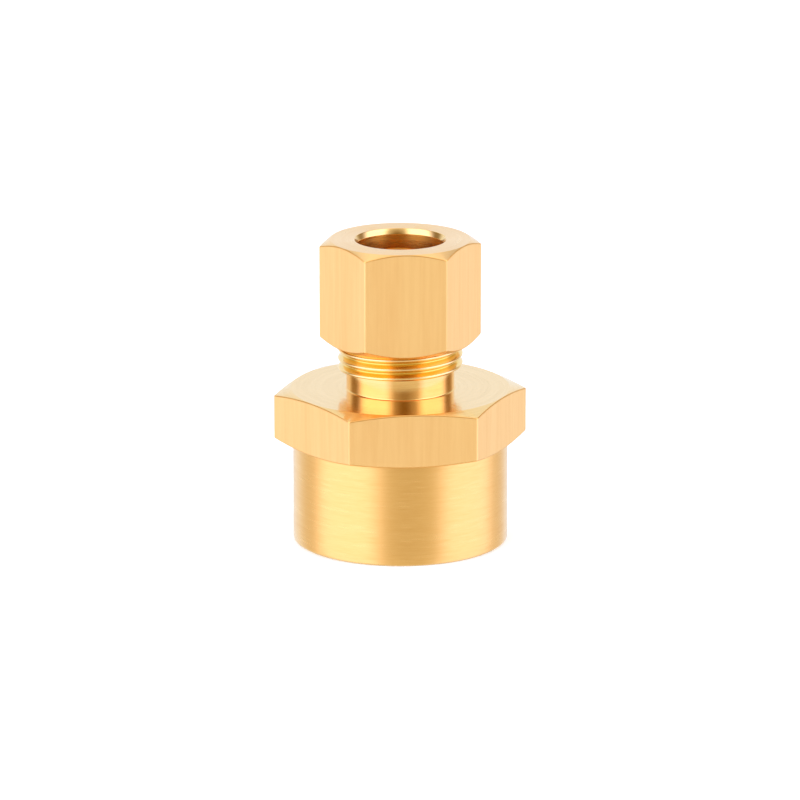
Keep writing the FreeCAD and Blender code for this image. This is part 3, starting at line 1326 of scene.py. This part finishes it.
@dataclass
class Sky:
    """The light: an even pale surround with the softboxes on it.

    Attributes:
        ambient: Radiance of the surround.
        ambient_tint: Red, green and blue of the surround.
        softboxes: The bright boxes and the dark flags.
        LEAST: Smallest distance from the vertical that a direction is divided by.
    """

    LEAST = 1e-4
    ambient: float = 0.84
    ambient_tint: Colour = (1.0, 0.97, 0.89)
    softboxes: tuple[Softbox, ...] = (
        Softbox(
            azimuth=-68, half_width=37, low=-60, high=70, soft=13, strength=0.70, tint=(0.97, 1.04, 1.75),
        ),
        Softbox(
            azimuth=72, half_width=33, low=-60, high=70, soft=12, strength=0.60, tint=(0.95, 1.08, 2.00),
        ),
        Softbox(
            azimuth=-60, half_width=34, low=6, high=60, soft=12, strength=0.55, tint=(1.00, 1.05, 1.10),
        ),
        Softbox(
            azimuth=66, half_width=30, low=6, high=60, soft=12, strength=0.50, tint=(1.00, 1.05, 1.10),
        ),
        Softbox(
            azimuth=180, half_width=42, low=-60, high=70, soft=10, strength=0.22, tint=(0.60, 1.15, 1.90),
        ),
        Softbox(
            azimuth=0, half_width=180, low=55, high=91, soft=20, strength=0.30,
        ),
        Softbox(
            azimuth=2, half_width=21, low=0, high=58, soft=20, strength=-0.60, tint=(0.98, 1.08, 1.18),
        ),
        Softbox(
            azimuth=-119, half_width=17, low=4, high=58, soft=12, strength=-0.54, tint=(0.98, 1.06, 1.12),
        ),
        Softbox(
            azimuth=119, half_width=15, low=4, high=58, soft=12, strength=-0.50, tint=(0.98, 1.06, 1.12),
        ),
    )

    def build(self) -> None:
        """Makes the world and wires its light."""
        world = bpy.data.worlds.new("studio")
        bpy.context.scene.world = world
        world.use_nodes = True
        wiring = Wiring(world.node_tree)
        direction = wiring.node("ShaderNodeTexCoord").outputs["Generated"]
        total = wiring.scaled(self.ambient_tint, self.ambient)
        for box in self.softboxes:
            total = wiring.plus(total, wiring.scaled(box.tint, self.radiance(wiring, direction, box)))
        background = wiring.node("ShaderNodeBackground")
        wiring.feed(background.inputs["Color"], total)
        output = wiring.node("ShaderNodeOutputWorld")
        wiring.feed(output.inputs["Surface"], background.outputs[0])

    def radiance(
        self, wiring: Wiring, direction: bpy.types.NodeSocket, box: Softbox
    ) -> bpy.types.NodeSocket:
        """Adds the nodes of one softbox.

        Args:
            wiring: Where the nodes go.
            direction: Output that gives the direction looked in.
            box: The softbox.

        Returns:
            Its radiance in that direction.
        """
        x, y, z = wiring.parts(direction)
        azimuth = math.radians(box.azimuth)
        toward = wiring.math(
            "ADD",
            wiring.math("MULTIPLY", x, math.sin(azimuth)),
            wiring.math("MULTIPLY", y, -math.cos(azimuth)),
        )
        aligned = wiring.math("DIVIDE", toward, wiring.math("MAXIMUM", wiring.radius(x, y), self.LEAST))
        off = wiring.math("MULTIPLY", wiring.math("ARCCOSINE", aligned), math.degrees(1))
        rise = wiring.math("MULTIPLY", wiring.math("ARCSINE", z), math.degrees(1))
        sides = self.fade(wiring, off, box.half_width, -box.soft)
        foot = self.fade(wiring, rise, box.low, box.soft)
        head = self.fade(wiring, rise, box.high, -box.soft)
        area = wiring.math("MULTIPLY", sides, wiring.math("MULTIPLY", foot, head))
        return wiring.math("MULTIPLY", area, box.strength)

    def fade(
        self, wiring: Wiring, value: bpy.types.NodeSocket, edge: float, soft: float
    ) -> bpy.types.NodeSocket:
        """Adds one soft edge of a softbox.

        Args:
            wiring: Where the node goes.
            value: Output that it reads, in degrees.
            edge: Middle of the edge in degrees.
            soft: Degrees from there to full light, below 0 where the light lies below the edge.

        Returns:
            An output from 0 to 1.
        """
        return wiring.step(value, edge - soft, edge + soft, smooth=True)


@dataclass
class Camera:
    """The camera, aimed at the fitting's axis.

    Attributes:
        azimuth: Degrees to the camera, from the side that the object's -Y faces towards +X.
        elevation: Degrees that it stands above the horizon.
        distance: Distance to the point it is aimed at.
        aim_height: Height of that point on the axis.
        lens: Focal length.
        sensor_width: Width of the sensor.
        centre_shift: Shift of the picture's centre, as a share of its width.
        nearest: Nearest distance that it sees, in metres.
        furthest: Furthest distance that it sees, in metres.
    """

    azimuth: float = -6.67
    elevation: float = 15.09
    distance: float = 618.7
    aim_height: float = 16.04
    lens: float = 246.24
    sensor_width: float = 36.0
    centre_shift: float = -0.0004
    nearest: float = 0.01
    furthest: float = 20.0

    def build(self) -> None:
        """Makes the camera and looks through it."""
        camera = bpy.data.cameras.new("camera")
        camera.sensor_width = self.sensor_width
        camera.lens = self.lens
        camera.shift_x = self.centre_shift
        camera.clip_start = self.nearest
        camera.clip_end = self.furthest
        holder = bpy.data.objects.new("camera", camera)
        bpy.context.scene.collection.objects.link(holder)
        azimuth = math.radians(self.azimuth)
        elevation = math.radians(self.elevation)
        away = Vector((
            math.sin(azimuth) * math.cos(elevation),
            -math.cos(azimuth) * math.cos(elevation),
            math.sin(elevation),
        ))
        aim = Vector((0, 0, self.aim_height * METRES))
        holder.location = aim + away * self.distance * METRES
        holder.rotation_euler = away.to_track_quat("Z", "Y").to_euler()
        bpy.context.scene.camera = holder


# ---------------------------------------------------------------- putting it together


def show(piece: bpy.types.Object, node: str, body: str) -> None:
    """Lets a finished mesh stand for a CAD node.

    Args:
        piece: The finished mesh.
        node: The CAD node it replaces.
        body: The body it rides on.
    """
    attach(piece, body)
    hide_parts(node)
    LOG.info("%s: %d faces, on body %s", piece.name, len(piece.data.polygons), body)


def main() -> None:
    """Builds the studio and the three pieces."""
    logging.basicConfig(level=logging.INFO, format="%(name)s: %(message)s")
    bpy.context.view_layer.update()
    bpy.context.scene.view_settings.view_transform = "Standard"
    for stage in (Floor(), Sky(), Camera()):
        stage.build()
    for lay in Lay:
        MATERIALS[lay] = BrassShader(f"brass_{lay.value}", lay).build()
    body = ConnectorBody()
    show(body.build(), body.node, body.rides_on)
    sleeve = CompressionSleeve()
    show(sleeve.build(), sleeve.node, sleeve.rides_on)
    nut = CompressionNut()
    show(nut.build(body.thread_start), nut.node, nut.rides_on)


if __name__ == "__main__":
    main()
